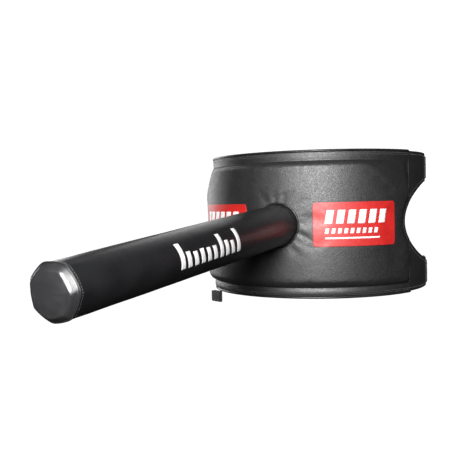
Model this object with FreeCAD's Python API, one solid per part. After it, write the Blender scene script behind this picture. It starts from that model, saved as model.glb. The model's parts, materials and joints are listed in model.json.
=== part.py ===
import FreeCAD, Part
import math
import os
from FreeCAD import Placement, Rotation, Vector

# Strap-on training arm for a heavy bag: a padded cuff that wraps round the bag, and a
# padded arm that stands out from it on a rubber buffer.  All lengths are in millimetres.
#
# Frame: the origin is on the bag's axis at the cuff's mid height, Z runs up that axis,
# and the arm points along -Y.  Angles round the bag are in degrees from -Y, positive
# towards +X.  The arm's own frame has its z along the arm, starting at the pivot.

# ---------------------------------------------------------------- driving dimensions
BAG_RADIUS = 200.0  # the bag that the cuff is strapped to
PANEL_HALF_HEIGHT = 122.5  # cuff, without its edge piping
PANEL_HALF_ANGLE = 69.8  # where the padded front panel ends
LEATHER = 1.5  # thickness of one layer of covering
GAP = 0.1  # clearance between layers of one body

FOAM_HALF_HEIGHT = 101.0
FOAM_HALF_ANGLE = 66.6
FOAM_SHOULDER_RADIUS = 214.0  # outside of the foam at its upper and lower edges
FOAM_MIDDLE_RADIUS = 217.7  # outside of the foam at mid height
FOAM_SLOPE = 0.4  # of the foam's upper and lower sides: it is taller at its back than at its front

CRESCENT_CENTRE = 99.5  # angle at which the crescent cut-out is tallest
CRESCENT_HALF_WIDTH = 112.0
CRESCENT_HALF_HEIGHT = 72.5
FOAM_TO_CRESCENT = 13.0

PIPING_RADIUS = 2.2
PIPING_SET_OUT = 1.4  # how far the piping's centre stands past the panel's edge
PIPING_OFF_BAG = 0.4

TAB_ROOT = 70.3
TAB_END = 112.0
TAB_THICKNESS = 3.2
TAB_CORNER = 8.0
STRAP_WIDTH = 40.0
STRAP_THICKNESS = 2.2
STRAP_SEWN_FROM = 93.0
RIGHT_STRAP_START = 112.3
RIGHT_STRAP_LEVEL_FROM = 165.0
RIGHT_STRAP_END = 208.0
RIGHT_STRAP_RADIUS = 206.2  # inside of the right strap where it lies over the left one
LEFT_STRAP_LEVEL_FROM = 140.0
LEFT_STRAP_END = 187.0
LEFT_STRAP_RADIUS = 200.2
TAPE_WIDTH = 38.0
HOOK_FROM = 175.0
HOOK_TO = 207.0
HOOK_THICKNESS = 1.6
LOOP_FROM = 149.0
LOOP_TO = 186.0
LOOP_THICKNESS = 1.8

BADGE_CENTRE = 35.2
BADGE_HALF_WIDTH = 72.2
BADGE_HALF_HEIGHT = 37.0
BADGE_THICKNESS = 0.8
BADGE_CORNER = 5.0

PLATE_HALF_ANGLE = 28.0
PLATE_HALF_HEIGHT = 85.0
PLATE_THICKNESS = 3.8
PLATE_CORNER = 18.0
PLATE_ROOM = 0.5  # clearance between the plate's edges and the foam
BOSS_RADIUS = 42.0
BOSS_FACE = 207.8  # distance of the boss's flat face from the bag's axis

FLANGE_RADIUS = 40.0
FLANGE_THICKNESS = 4.0
SCREW_CIRCLE = 55.0
SCREW_RADIUS = 3.0
SCREW_HEAD_RADIUS = 6.0
SCREW_HEAD_DEPTH = 3.3
SCREW_HEAD_FACE = 202.4
SCREW_END = 219.0
SCREW_SOCKET_RADIUS = 2.3
SCREW_SOCKET_DEPTH = 2.0
WASHER_RADIUS = 6.0
WASHER_THICKNESS = 1.2
NUT_RADIUS = 5.77  # to its corners
NUT_THICKNESS = 5.0
NUT_BORE_ROOM = 0.05

PIVOT_DISTANCE = 220.0  # the arm's pivot, in the middle of the buffer, from the bag's axis
ARM_DROOP = 4.0  # degrees below the horizontal, under the arm's own weight
BUFFER_RADIUS = 21.0
SOCKET_START = 8.0
SOCKET_DISC = 3.0
SOCKET_RADIUS = 16.5
SOCKET_BORE = 14.15
SOCKET_END = 66.0
TUBE_RADIUS = 14.0
TUBE_WALL = 2.0
TUBE_END_TO_SEAM = 9.0
PLUG_LENGTH = 16.0
PLUG_HEAD = 3.0
PLUG_CHAMFER = 1.0
CROSS_BOLT_AT = 42.0
CROSS_BOLT_RADIUS = 2.5
CROSS_BOLT_HEAD_RADIUS = 4.75
CROSS_BOLT_TOP_RADIUS = 3.0
CROSS_BOLT_HEAD_HEIGHT = 2.8
CROSS_BOLT_PAST_SOCKET = 5.8
CROSS_NUT_RADIUS = 4.6  # to its corners
CROSS_NUT_THICKNESS = 4.0
UNDER_HEAD = 0.2  # clearance under the bolt's head and the nut
BOLT_POCKET_RADIUS = 5.2
BOLT_POCKET_PAST_SOCKET = 10.0

ARM_ROOT = 11.0  # where the rigid arm's padding starts
SEAM_AT = 575.0  # seam between the sleeve and the end cap
ARM_ROOT_RADIUS = 35.0
ARM_SEAM_RADIUS = 30.0
FOAM_SLACK = 0.4  # how much thinner the end foam is than the room inside its cap
SLEEVE_HOLE_RADIUS = 36.6
POCKET_RADIUS = 43.0
SEAM_PIPING_RADIUS = 1.4
CAP_SIDE = 3.5  # from the seam to the cap's bevel
CAP_LENGTH = 10.0
CAP_FACE_RADIUS = 24.0

TIE_LOOP_ANGLE = -50.0
TIE_LOOP_TWIST = 24.0
TIE_LOOP_WIDTH = 26.0
TIE_LOOP_DROP = 21.0
TIE_LOOP_GAP = 3.6
TIE_LOOP_THICKNESS = 1.4
TIE_LOOP_OFF_BAG = 8.5
TIE_LOOP_BELOW_PIPING = 0.3

# Cutters run from well inside the cuff's wall to well outside it, and past each end by BEYOND.
CUT_FROM = 140.0
CUT_TO = 250.0
BEYOND = 20.0

UP = Vector(0, 0, 1)
OUT = Vector(0, -1, 0)  # the way the arm points, but for its droop
ACROSS = Vector(1, 0, 0)
CENTRE = Vector(0, 0, 0)
ARM_FRAME = Placement(OUT * PIVOT_DISTANCE, Rotation(ACROSS, 90 + ARM_DROOP))
COVER_INSIDE = BAG_RADIUS + LEATHER + 2 * GAP  # the outer cover along the panel's border
PLATE_INSIDE = BAG_RADIUS + LEATHER + 2 * GAP
WASHER_FACE = BOSS_FACE + FLANGE_THICKNESS
NUT_FACE = WASHER_FACE + WASHER_THICKNESS
ON_TAB = BAG_RADIUS + TAB_THICKNESS
TUBE_END = SEAM_AT - TUBE_END_TO_SEAM
CAP_BEVEL_START = SEAM_AT + CAP_SIDE
CAP_FACE = SEAM_AT + CAP_LENGTH
STRAP_MIDDLE = (PANEL_HALF_HEIGHT + CRESCENT_HALF_HEIGHT) / 2


# ---------------------------------------------------------------- geometry helpers
def polar(radius, degrees, z=0.0):
    """Point at that angle round the bag, and that far from its axis."""
    a = math.radians(degrees)
    return Vector(radius * math.sin(a), -radius * math.cos(a), z)


def facing(degrees, radius, z=0.0):
    """Placement with x round the bag, y up and z straight out, at that angle."""
    a = math.radians(degrees)
    round_bag = Vector(math.cos(a), math.sin(a), 0)
    outwards = Vector(math.sin(a), -math.cos(a), 0)
    return Placement(polar(radius, degrees, z), Rotation(round_bag, UP, outwards, "ZXY"))


def strap(stations, thickness, middle, width):
    """Curved strip whose inside passes through (angle, radius) stations, an arc between each two."""
    low = middle - width / 2

    def side(offset):
        arcs = []
        for (a0, r0), (a1, r1) in zip(stations, stations[1:]):
            start = polar(r0 + offset, a0, low)
            half_way = polar((r0 + r1) / 2 + offset, (a0 + a1) / 2, low)
            end = polar(r1 + offset, a1, low)
            arcs.append(Part.Arc(start, half_way, end).toShape())
        return arcs

    ends = [
        Part.makeLine(polar(radius, angle, low), polar(radius + thickness, angle, low))
        for angle, radius in (stations[0], stations[-1])
    ]
    wire = Part.Wire(Part.__sortEdges__(side(0.0) + side(thickness) + ends))
    return Part.Face(wire).extrude(UP * width)


def band(inner, thickness, start, end, middle, width):
    """Strip at one radius, between two angles."""
    return strap([(start, inner), (end, inner)], thickness, middle, width)


def panel_sheet(inner):
    """One layer of covering over the whole front panel, with its crescents cut out."""
    sheet = band(inner, LEATHER, -PANEL_HALF_ANGLE, PANEL_HALF_ANGLE, 0, 2 * PANEL_HALF_HEIGHT)
    return without_crescents(sheet)


def upright_edge(shoulder, middle, half_height):
    """Edge of a cross-section in the plane of angle 0: straight, or bowed out at mid height."""
    foot = Vector(0, -shoulder, -half_height)
    head = Vector(0, -shoulder, half_height)
    if shoulder == middle:
        return Part.makeLine(foot, head)
    return Part.Arc(foot, Vector(0, -middle, 0), head).toShape()


def padded_layer(offset, thickness, inner_foot, start, end):
    """Solid between two bowed surfaces at those distances outside the foam, from angle to angle.

    Without a thickness, it goes in to inner_foot instead, a straight wall.
    """
    near = (FOAM_SHOULDER_RADIUS + offset, FOAM_MIDDLE_RADIUS + offset, FOAM_HALF_HEIGHT + offset)
    if thickness:
        far = tuple(value + thickness for value in near)
    else:
        far = (inner_foot, inner_foot, near[2] + FOAM_SLOPE * (near[0] - inner_foot))
    closing = [
        Part.makeLine(Vector(0, -near[0], side * near[2]), Vector(0, -far[0], side * far[2]))
        for side in (-1, 1)
    ]
    edges = Part.__sortEdges__([upright_edge(*near), upright_edge(*far), *closing])
    section = Part.Face(Part.Wire(edges))
    section.rotate(CENTRE, UP, start)
    return section.revolve(CENTRE, UP, end - start)


def padded_block(offset, inner):
    """The foam's block, that far outside the foam, down to an inner radius."""
    angle = FOAM_HALF_ANGLE + math.degrees(offset / BAG_RADIUS)
    block = padded_layer(offset, 0, inner, -angle, angle)
    return without_crescents(block, FOAM_TO_CRESCENT - offset)


def crescent(grow=0.0):
    """Cutter for the crescent at the panel's +X end, straight in towards the bag."""
    ellipse = Part.Ellipse(CENTRE, CRESCENT_HALF_WIDTH + grow, CRESCENT_HALF_HEIGHT + grow)
    cutter = Part.Face(Part.Wire(ellipse.toShape())).extrude(UP * (CUT_TO - CUT_FROM))
    cutter.Placement = facing(CRESCENT_CENTRE, CUT_FROM)
    return cutter


def without_crescents(shape, grow=0.0):
    """The shape less both crescents, each grown by that much."""
    return shape.cut(crescent(grow)).cut(mirrored(crescent(grow)))


def mirrored(shape):
    """The same shape on the other side of the arm."""
    return shape.mirror(CENTRE, ACROSS)


def lower(shape):
    """The same shape below mid height."""
    return shape.mirror(CENTRE, UP)


def rounded_cutter(half_width, half_height, corner, degrees):
    """Rounded rectangle, straight in towards the bag at that angle."""
    depth = CUT_TO - CUT_FROM
    block = Part.makeBox(2 * half_width, 2 * half_height, depth, Vector(-half_width, -half_height, 0))
    corners = [edge for edge in block.Edges if abs(edge.tangentAt(0).z) > 0.5]
    block = block.makeFillet(corner, corners)
    block.Placement = facing(degrees, CUT_FROM)
    return block


def rod(radius, start, end, x=0.0, z=0.0):
    """Cylinder straight out from the bag, from one distance to another."""
    return Part.makeCylinder(radius, end - start, Vector(x, -start, z), OUT)


def through(radius, x=0.0, z=0.0):
    """Cutter straight out through the whole cuff."""
    return rod(radius, CUT_FROM, CUT_TO, x, z)


def screw_head(radius_more, x, z):
    """The screw's countersunk head, or its seat when radius_more is above 0."""
    wide = SCREW_HEAD_RADIUS + radius_more
    narrow = SCREW_RADIUS + radius_more
    return Part.makeCone(wide, narrow, SCREW_HEAD_DEPTH, Vector(x, -SCREW_HEAD_FACE, z), OUT)


def hexagonal_bar(radius, start, end, x, z):
    """Six-sided bar straight out from the bag, its radius to the corners."""
    angles = [math.radians(60 * i) for i in range(7)]
    corners = [Vector(x + radius * math.cos(a), -start, z + radius * math.sin(a)) for a in angles]
    return Part.Face(Part.makePolygon(corners)).extrude(OUT * (end - start))


def at_screws(make):
    """One solid at each of the flange's four screws."""
    half = SCREW_CIRCLE / 2 * math.sqrt(0.5)
    return Part.makeCompound([make(x * half, z * half) for x in (-1, 1) for z in (-1, 1)])


def frustum(start, end, start_radius, end_radius=None):
    """Cylinder or cone along the arm, in the arm's own frame."""
    base = UP * start
    if end_radius is None:
        return Part.makeCylinder(start_radius, end - start, base)
    return Part.makeCone(start_radius, end_radius, end - start, base)


def tube(start, end, outer, inner):
    """Straight tube along the arm, in the arm's own frame."""
    return frustum(start, end, outer).cut(frustum(start - BEYOND, end + BEYOND, inner))


def across_arm(radius, start, end):
    """Cylinder across the arm at the cross bolt, in the arm's own frame."""
    return Part.makeCylinder(radius, end - start, Vector(start, 0, CROSS_BOLT_AT), ACROSS)


def on_arm(shape):
    """Moves a shape from the arm's own frame to where the arm is."""
    placed = shape.copy()
    placed.Placement = ARM_FRAME.multiply(placed.Placement)
    return placed


def sleeve_radius(along):
    """Outside radius of the arm's cover, which narrows evenly from root to seam."""
    share = (along - ARM_ROOT) / (SEAM_AT - ARM_ROOT)
    return ARM_ROOT_RADIUS + share * (ARM_SEAM_RADIUS - ARM_ROOT_RADIUS)


# ---------------------------------------------------------------- the cuff
def cuff_lining():
    return panel_sheet(BAG_RADIUS)


def cuff_foam():
    plate_room = band(
        BAG_RADIUS,
        PLATE_INSIDE + PLATE_THICKNESS + GAP - BAG_RADIUS,
        -PLATE_HALF_ANGLE - math.degrees(PLATE_ROOM / BAG_RADIUS),
        PLATE_HALF_ANGLE + math.degrees(PLATE_ROOM / BAG_RADIUS),
        0,
        2 * (PLATE_HALF_HEIGHT + PLATE_ROOM),
    )
    return padded_block(0.0, COVER_INSIDE).cut(plate_room).cut(through(POCKET_RADIUS))


def cuff_cover():
    skin = padded_block(LEATHER, COVER_INSIDE).fuse(panel_sheet(COVER_INSIDE))
    room_for_foam = padded_block(GAP, COVER_INSIDE)
    return skin.cut(room_for_foam).cut(through(SLEEVE_HOLE_RADIUS)).removeSplitter()


def edge_piping():
    """Bead along the panel's upper edge, flat where it meets the panel."""
    centre = Vector(0, -(BAG_RADIUS + PIPING_RADIUS + PIPING_OFF_BAG), PANEL_HALF_HEIGHT + PIPING_SET_OUT)
    section = Part.Face(Part.Wire(Part.makeCircle(PIPING_RADIUS, centre, ACROSS)))
    section.rotate(CENTRE, UP, -PANEL_HALF_ANGLE)
    bead = section.revolve(CENTRE, UP, 2 * PANEL_HALF_ANGLE)
    return bead.common(Part.makeCylinder(CUT_TO, BEYOND, UP * PANEL_HALF_HEIGHT))


def badge():
    half_angle = math.degrees(BADGE_HALF_WIDTH / BAG_RADIUS) + 3
    skin = padded_layer(
        LEATHER + GAP, BADGE_THICKNESS, 0, BADGE_CENTRE - half_angle, BADGE_CENTRE + half_angle
    )
    return skin.common(rounded_cutter(BADGE_HALF_WIDTH, BADGE_HALF_HEIGHT, BADGE_CORNER, BADGE_CENTRE))


def backing_plate():
    """Stiff plate inside the cuff, with a boss whose flat face carries the arm's flange."""
    plate = band(PLATE_INSIDE, PLATE_THICKNESS, -PLATE_HALF_ANGLE, PLATE_HALF_ANGLE, 0, 2 * PLATE_HALF_HEIGHT)
    half_width = PLATE_INSIDE * math.sin(math.radians(PLATE_HALF_ANGLE))
    plate = plate.common(rounded_cutter(half_width, PLATE_HALF_HEIGHT, PLATE_CORNER, 0))
    boss = rod(BOSS_RADIUS, CUT_FROM, BOSS_FACE)
    bag_side = Part.makeCylinder(PLATE_INSIDE, 4 * BOSS_RADIUS, UP * (-2 * BOSS_RADIUS))
    plate = plate.fuse(boss.cut(bag_side))
    plate = plate.cut(at_screws(lambda x, z: through(SCREW_RADIUS + GAP, x, z)))
    plate = plate.cut(at_screws(lambda x, z: screw_head(GAP, x, z)))
    plate = plate.cut(at_screws(lambda x, z: rod(SCREW_HEAD_RADIUS + GAP, CUT_FROM, SCREW_HEAD_FACE, x, z)))
    return plate.removeSplitter()


def stud_flange():
    disc = rod(FLANGE_RADIUS, BOSS_FACE, WASHER_FACE)
    return disc.cut(at_screws(lambda x, z: through(SCREW_RADIUS + GAP, x, z)))


def flange_screw(x, z):
    shank = rod(SCREW_RADIUS, SCREW_HEAD_FACE + SCREW_HEAD_DEPTH, SCREW_END, x, z)
    socket = hexagonal_bar(SCREW_SOCKET_RADIUS, CUT_FROM, SCREW_HEAD_FACE + SCREW_SOCKET_DEPTH, x, z)
    return screw_head(0, x, z).fuse(shank).cut(socket).removeSplitter()


def flange_washer(x, z):
    return rod(WASHER_RADIUS, WASHER_FACE, NUT_FACE, x, z).cut(through(SCREW_RADIUS + GAP, x, z))


def flange_nut(x, z):
    body = hexagonal_bar(NUT_RADIUS, NUT_FACE, NUT_FACE + NUT_THICKNESS, x, z)
    return body.cut(through(SCREW_RADIUS + NUT_BORE_ROOM, x, z))


def tie_loop():
    """Folded webbing sewn into the cuff's lower seam, hanging as a narrow U with open sides."""
    half_gap = TIE_LOOP_GAP / 2
    outside = half_gap + TIE_LOOP_THICKNESS
    straight = TIE_LOOP_DROP - outside
    side = -TIE_LOOP_WIDTH / 2

    def u_shape(half_thickness):
        legs = Part.makeBox(
            TIE_LOOP_WIDTH, straight, 2 * half_thickness, Vector(side, -straight, -half_thickness)
        )
        fold = Part.makeCylinder(half_thickness, TIE_LOOP_WIDTH, Vector(side, -straight, 0), ACROSS)
        return legs.fuse(fold)

    loop = u_shape(outside).cut(u_shape(half_gap)).removeSplitter()
    loop.rotate(CENTRE, Vector(0, 1, 0), TIE_LOOP_TWIST)
    top = PANEL_HALF_HEIGHT + PIPING_SET_OUT + PIPING_RADIUS + TIE_LOOP_BELOW_PIPING
    loop.Placement = facing(TIE_LOOP_ANGLE, BAG_RADIUS + TIE_LOOP_OFF_BAG, -top).multiply(loop.Placement)
    return loop


# ---------------------------------------------------------------- tabs and straps, upper right
def tab():
    """Leather tab above the crescent, rounded at its free end."""
    sheet = band(BAG_RADIUS, TAB_THICKNESS, TAB_ROOT, TAB_END, PANEL_HALF_HEIGHT / 2, PANEL_HALF_HEIGHT)
    past_middle = band(
        BAG_RADIUS - BEYOND, 2 * BEYOND, CRESCENT_CENTRE, TAB_END + 1, 0, 2 * CRESCENT_HALF_HEIGHT
    )
    sheet = sheet.cut(crescent()).cut(past_middle).removeSplitter()
    round_bag = polar(1, TAB_END + 90)

    def at_free_end(edge):
        return all(abs(vertex.Point.dot(round_bag)) < GAP for vertex in edge.Vertexes)

    corners = [e for e in sheet.Edges if abs(e.Length - TAB_THICKNESS) < GAP and at_free_end(e)]
    return sheet.makeFillet(TAB_CORNER, corners)


def right_strap_base():
    """The stretch of the right strap that is sewn to its tab."""
    length = TAB_END - math.degrees(GAP / BAG_RADIUS)
    return band(ON_TAB, STRAP_THICKNESS, STRAP_SEWN_FROM, length, STRAP_MIDDLE, STRAP_WIDTH)


def right_strap():
    stations = [
        (RIGHT_STRAP_START, ON_TAB),
        (RIGHT_STRAP_LEVEL_FROM, RIGHT_STRAP_RADIUS),
        (RIGHT_STRAP_END, RIGHT_STRAP_RADIUS),
    ]
    return strap(stations, STRAP_THICKNESS, STRAP_MIDDLE, STRAP_WIDTH)


def hook_tape():
    inner = RIGHT_STRAP_RADIUS - HOOK_THICKNESS
    return band(inner, HOOK_THICKNESS, HOOK_FROM, HOOK_TO, STRAP_MIDDLE, TAPE_WIDTH)


def left_strap():
    """The left pieces are modelled on the +X side too, and mirrored afterwards."""
    stations = [
        (STRAP_SEWN_FROM, ON_TAB),
        (TAB_END, ON_TAB),
        (LEFT_STRAP_LEVEL_FROM, LEFT_STRAP_RADIUS),
        (LEFT_STRAP_END, LEFT_STRAP_RADIUS),
    ]
    return strap(stations, STRAP_THICKNESS, STRAP_MIDDLE, STRAP_WIDTH)


def loop_tape():
    inner = LEFT_STRAP_RADIUS + STRAP_THICKNESS
    return band(inner, LOOP_THICKNESS, LOOP_FROM, LOOP_TO, STRAP_MIDDLE, TAPE_WIDTH)


# ---------------------------------------------------------------- the arm's root
def rubber_buffer():
    """Block between the flange and the arm's socket, its outer end square to the arm."""
    block = rod(BUFFER_RADIUS, WASHER_FACE, CUT_TO)
    return block.cut(on_arm(frustum(SOCKET_START, CUT_TO, 2 * BUFFER_RADIUS)))


def root_collar():
    """Soft end of the arm's cover, which meets the cuff's surface."""
    radius = sleeve_radius(ARM_ROOT)
    collar = on_arm(tube(-BEYOND, ARM_ROOT, radius, radius - LEATHER))
    return collar.cut(padded_block(LEATHER + GAP, BAG_RADIUS - BEYOND))


# ---------------------------------------------------------------- the arm, in its own frame
def arm_socket():
    disc = frustum(SOCKET_START, SOCKET_START + SOCKET_DISC, BUFFER_RADIUS)
    wall = tube(SOCKET_START + SOCKET_DISC, SOCKET_END, SOCKET_RADIUS, SOCKET_BORE)
    return disc.fuse(wall).cut(cross_hole()).removeSplitter()


def cross_hole():
    return across_arm(CROSS_BOLT_RADIUS + GAP, -SOCKET_RADIUS - BEYOND, SOCKET_RADIUS + BEYOND)


def core_tube():
    start = SOCKET_START + SOCKET_DISC + GAP
    return tube(start, TUBE_END, TUBE_RADIUS, TUBE_RADIUS - TUBE_WALL).cut(cross_hole())


def core_end_plug():
    stem = frustum(TUBE_END - PLUG_LENGTH, TUBE_END, TUBE_RADIUS - TUBE_WALL - GAP)
    head = frustum(TUBE_END, TUBE_END + PLUG_HEAD, TUBE_RADIUS, TUBE_RADIUS - PLUG_CHAMFER)
    return stem.fuse(head).removeSplitter()


def cross_bolt():
    """Bolt through the socket and the tube, its head on the -X side."""
    seat = -SOCKET_RADIUS - UNDER_HEAD
    shank = across_arm(CROSS_BOLT_RADIUS, seat, SOCKET_RADIUS + CROSS_BOLT_PAST_SOCKET)
    head = Part.makeCone(
        CROSS_BOLT_HEAD_RADIUS,
        CROSS_BOLT_TOP_RADIUS,
        CROSS_BOLT_HEAD_HEIGHT,
        Vector(seat, 0, CROSS_BOLT_AT),
        -ACROSS,
    )
    return shank.fuse(head).removeSplitter()


def cross_nut():
    seat = SOCKET_RADIUS + UNDER_HEAD
    middle = Vector(seat, 0, CROSS_BOLT_AT)
    angles = [math.radians(60 * i) for i in range(7)]
    corners = [middle + Vector(0, math.cos(a), math.sin(a)) * CROSS_NUT_RADIUS for a in angles]
    body = Part.Face(Part.makePolygon(corners)).extrude(ACROSS * CROSS_NUT_THICKNESS)
    return body.cut(across_arm(CROSS_BOLT_RADIUS + NUT_BORE_ROOM, 0, seat + BEYOND))


def arm_foam():
    start = ARM_ROOT + 2 * GAP
    end = TUBE_END + PLUG_HEAD
    inset = LEATHER + GAP
    block = frustum(start, end, sleeve_radius(start) - inset, sleeve_radius(end) - inset)
    block = block.cut(frustum(0, CAP_FACE, TUBE_RADIUS + GAP))
    block = block.cut(frustum(0, SOCKET_END + PLATE_ROOM, SOCKET_RADIUS + GAP))
    reach = SOCKET_RADIUS + BOLT_POCKET_PAST_SOCKET
    return block.cut(across_arm(BOLT_POCKET_RADIUS, -reach, reach))


def end_foam():
    inset = LEATHER + GAP
    radius = ARM_SEAM_RADIUS - inset - FOAM_SLACK
    shank = frustum(TUBE_END + PLUG_HEAD + GAP, CAP_BEVEL_START, radius)
    crown = frustum(CAP_BEVEL_START, CAP_FACE - inset, radius, CAP_FACE_RADIUS - inset)
    return shank.fuse(crown).removeSplitter()


def arm_cover():
    start = ARM_ROOT + GAP
    outside = frustum(start, SEAM_AT, sleeve_radius(start), ARM_SEAM_RADIUS)
    inside = frustum(start, SEAM_AT, sleeve_radius(start) - LEATHER, ARM_SEAM_RADIUS - LEATHER)
    return outside.cut(inside)


def end_seam_piping():
    """Ring between the sleeve and the cap, flat where it meets each of them."""
    middle = SEAM_AT + SEAM_PIPING_RADIUS
    ring = Part.makeTorus(ARM_SEAM_RADIUS, SEAM_PIPING_RADIUS, UP * middle)
    core = frustum(SEAM_AT - BEYOND, SEAM_AT + BEYOND, ARM_SEAM_RADIUS - LEATHER)
    return ring.cut(core)


def end_cap_cover():
    start = SEAM_AT + 2 * SEAM_PIPING_RADIUS

    def cap(inset, low, high):
        side = frustum(low, CAP_BEVEL_START, ARM_SEAM_RADIUS - inset)
        return side.fuse(frustum(CAP_BEVEL_START, high, ARM_SEAM_RADIUS - inset, CAP_FACE_RADIUS - inset))

    return cap(0, start, CAP_FACE).cut(cap(LEATHER, start - 1, CAP_FACE - LEATHER)).removeSplitter()


# ---------------------------------------------------------------- all the nodes
CUFF_PIECES = {
    "cuff_lining": cuff_lining,
    "cuff_foam": cuff_foam,
    "cuff_cover": cuff_cover,
    "cuff_top_piping": edge_piping,
    "cuff_bottom_piping": lambda: lower(edge_piping()),
    "backing_plate": backing_plate,
    "right_badge": badge,
    "left_badge": lambda: mirrored(badge()),
    "stud_flange": stud_flange,
    "flange_screws": lambda: at_screws(flange_screw),
    "flange_washers": lambda: at_screws(flange_washer),
    "flange_nuts": lambda: at_screws(flange_nut),
    "tie_loop": tie_loop,
    "rubber_buffer": rubber_buffer,
    "root_collar": root_collar,
}
ARM_PIECES = {
    "arm_socket": arm_socket,
    "core_tube": core_tube,
    "core_end_plug": core_end_plug,
    "cross_bolt": cross_bolt,
    "cross_nut": cross_nut,
    "arm_foam": arm_foam,
    "end_foam": end_foam,
    "arm_cover": arm_cover,
    "end_seam_piping": end_seam_piping,
    "end_cap_cover": end_cap_cover,
}
RIGHT_PIECES = {
    "tab": tab,
    "strap_base": right_strap_base,
    "strap": right_strap,
    "hook_tape": hook_tape,
}
LEFT_PIECES = {"tab": tab, "strap": left_strap, "loop_tape": loop_tape}


def all_shapes():
    """Every node's shape by name."""
    shapes = {name: make() for name, make in CUFF_PIECES.items()}
    for name, make in ARM_PIECES.items():
        shapes[name] = on_arm(make())
    for name, make in RIGHT_PIECES.items():
        shapes[f"right_upper_{name}"] = make()
        shapes[f"right_lower_{name}"] = lower(make())
    for name, make in LEFT_PIECES.items():
        shapes[f"left_upper_{name}"] = mirrored(make())
        shapes[f"left_lower_{name}"] = mirrored(lower(make()))
    return shapes


os.makedirs("parts", exist_ok=True)
for node, shape in all_shapes().items():
    solids = shape.Solids
    if not solids or not all(solid.isValid() and solid.Volume > 0 for solid in solids):
        raise ValueError(f"{node} isn't a set of valid solids")
    whole = solids[0] if len(solids) == 1 else Part.makeCompound(solids)
    whole.exportStep(f"parts/{node}.step")
    print(f"{node}: {len(solids)} solid(s), {whole.Volume / 1000:.1f} cm3")
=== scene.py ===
import json
import math
import random

import bmesh
import bpy
import numpy as np
from mathutils import Matrix, Vector, noise
from mathutils.bvhtree import BVHTree


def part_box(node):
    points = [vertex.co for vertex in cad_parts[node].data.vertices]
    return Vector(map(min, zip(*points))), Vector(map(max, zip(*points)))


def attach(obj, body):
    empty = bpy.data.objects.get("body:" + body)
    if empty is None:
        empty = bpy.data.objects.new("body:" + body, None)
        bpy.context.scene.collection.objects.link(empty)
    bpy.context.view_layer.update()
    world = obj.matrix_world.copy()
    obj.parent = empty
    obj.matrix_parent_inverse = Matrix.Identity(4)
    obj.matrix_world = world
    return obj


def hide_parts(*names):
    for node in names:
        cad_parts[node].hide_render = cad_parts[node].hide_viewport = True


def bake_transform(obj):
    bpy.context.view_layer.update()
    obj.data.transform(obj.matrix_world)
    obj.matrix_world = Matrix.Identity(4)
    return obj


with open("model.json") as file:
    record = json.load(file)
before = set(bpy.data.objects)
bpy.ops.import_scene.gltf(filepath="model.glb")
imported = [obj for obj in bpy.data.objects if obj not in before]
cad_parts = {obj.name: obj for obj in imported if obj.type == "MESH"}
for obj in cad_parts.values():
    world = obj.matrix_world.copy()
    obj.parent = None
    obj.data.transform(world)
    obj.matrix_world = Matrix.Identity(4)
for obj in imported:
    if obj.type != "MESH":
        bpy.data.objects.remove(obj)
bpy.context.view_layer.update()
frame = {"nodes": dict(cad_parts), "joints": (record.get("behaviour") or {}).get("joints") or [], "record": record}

# Looks of the strap-on training arm: a padded leather cuff with webbing straps, and a
# padded vinyl arm on a rubber buffer. All lengths are in metres, in the shared frame.
# Angles round the bag run from -Y towards +X. Angles round the arm run from its upper
# side towards +X, and "along" is the distance from the arm's pivot towards its free end.

MM = 0.001
JOINTS = {joint["name"]: joint for joint in frame["joints"]}
BAG_RADIUS = frame["record"]["mounts"][0]["dims"]["r_mm"] * MM

# ---------------------------------------------------------------- sizes from the frame
LINING_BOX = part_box("cuff_lining")
LINING_RADIUS = -LINING_BOX[0].y
PANEL_TOP = LINING_BOX[1].z
PANEL_ANGLE = math.asin(LINING_BOX[1].x / LINING_RADIUS)
BORDER_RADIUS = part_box("right_upper_tab")[1].x
DOME_RADIUS = -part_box("cuff_cover")[0].y
PIPING_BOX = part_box("cuff_top_piping")
STRAP_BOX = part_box("right_upper_strap_base")
STRAP_MIDDLE = (STRAP_BOX[0].z + STRAP_BOX[1].z) / 2
STRAP_WIDTH = STRAP_BOX[1].z - STRAP_BOX[0].z
LOOP_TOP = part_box("tie_loop")[1].z
LOOP_DROP = LOOP_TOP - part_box("tie_loop")[0].z

PIVOT = Vector(JOINTS["arm_yaw"]["pos_m"])
DROOP = JOINTS["arm_pitch"]["springref"]
ARM_OUT = Vector((0, -math.cos(DROOP), -math.sin(DROOP)))
ARM_UP = Vector((0, -math.sin(DROOP), math.cos(DROOP)))
ARM_ACROSS = Vector((1, 0, 0))


def along_arm(node):
    """Where a CAD node starts and ends along the arm."""
    places = [(vertex.co - PIVOT).dot(ARM_OUT) for vertex in frame["nodes"][node].data.vertices]
    return min(places), max(places)


COLLAR_END = along_arm("root_collar")[1]
SEAM_AT = along_arm("arm_cover")[1]
CAP_FACE = along_arm("end_cap_cover")[1]

# ---------------------------------------------------------------- sizes of the design
CRESCENT_CENTRE = math.radians(99.5)
CRESCENT_HALF_WIDTH = 0.112
CRESCENT_HALF_HEIGHT = 0.0725
FOOT_TO_CRESCENT = 0.0115  # from the crescent's edge to where the padding starts to rise
FOOT_ANGLE = math.radians(67.0)
FOOT_HEIGHT = 0.1068
RISE_BELOW = 0.0145  # how far in from the padding's foot it reaches its full height
RISE_ABOVE = 0.0105
RISE_ABOVE_AT_ENDS = 0.058
RISE_BESIDE = 0.016
BULGE_BELOW = 0.0021
BULGE_ABOVE = 0.0007
SHOULDER_RADIUS = 0.2155
COVER_BACK = LINING_RADIUS + 0.0002
BEYOND_CUFF = 0.26  # a radius clear of every piece of it
SLEEVE_HOLE = 0.0325
TAB_ROOT = PANEL_ANGLE - 1.2 * MM / BORDER_RADIUS  # the tabs are sewn on just over the panel's ends
TAB_END = math.radians(112.0)
TAB_CORNER = 0.008
FOLD = math.radians(69.9), math.radians(74.5)  # where a tab's leather bends as it opens
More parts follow.
